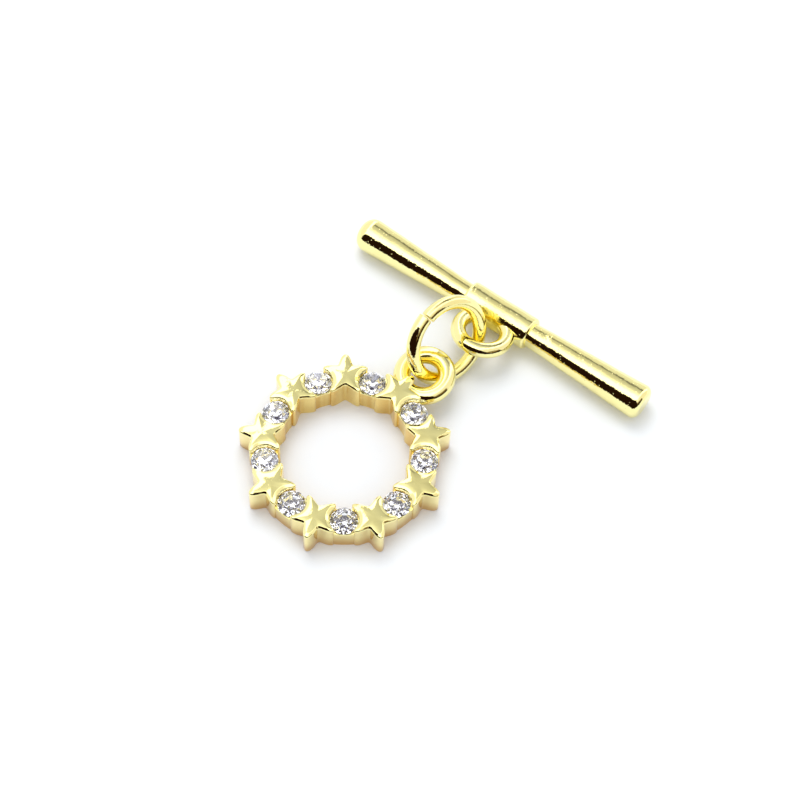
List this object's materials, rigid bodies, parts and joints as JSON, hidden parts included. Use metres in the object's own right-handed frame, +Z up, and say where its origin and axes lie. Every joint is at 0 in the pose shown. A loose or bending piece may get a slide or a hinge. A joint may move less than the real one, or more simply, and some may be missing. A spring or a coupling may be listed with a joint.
{
  "type": "toggle clasp",
  "caption": "Ring of five-pointed stars with a round stone between each pair, joined by a jump ring to a tapered toggle bar with a collar and an eye.",
  "frame": {"origin": "centre of the ring's opening, on the surface that the clasp lies on", "axes": "+Z up from the surface, +X from the centre of the ring through its eye, +Y across"},
  "size_m": [0.0246, 0.0238, 0.0061],
  "materials": {
    "gold": "polished yellow gold plating",
    "stone": "clear faceted stone"
  },
  "bodies": {
    "root": {"star_ring": "gold", "jump_ring": "gold", "toggle_bar": "gold", "stone_1": "stone", "stone_2": "stone", "stone_3": "stone", "stone_4": "stone", "stone_5": "stone", "stone_6": "stone", "stone_7": "stone", "stone_8": "stone", "stone_9": "stone"}
  },
  "joints": []
}
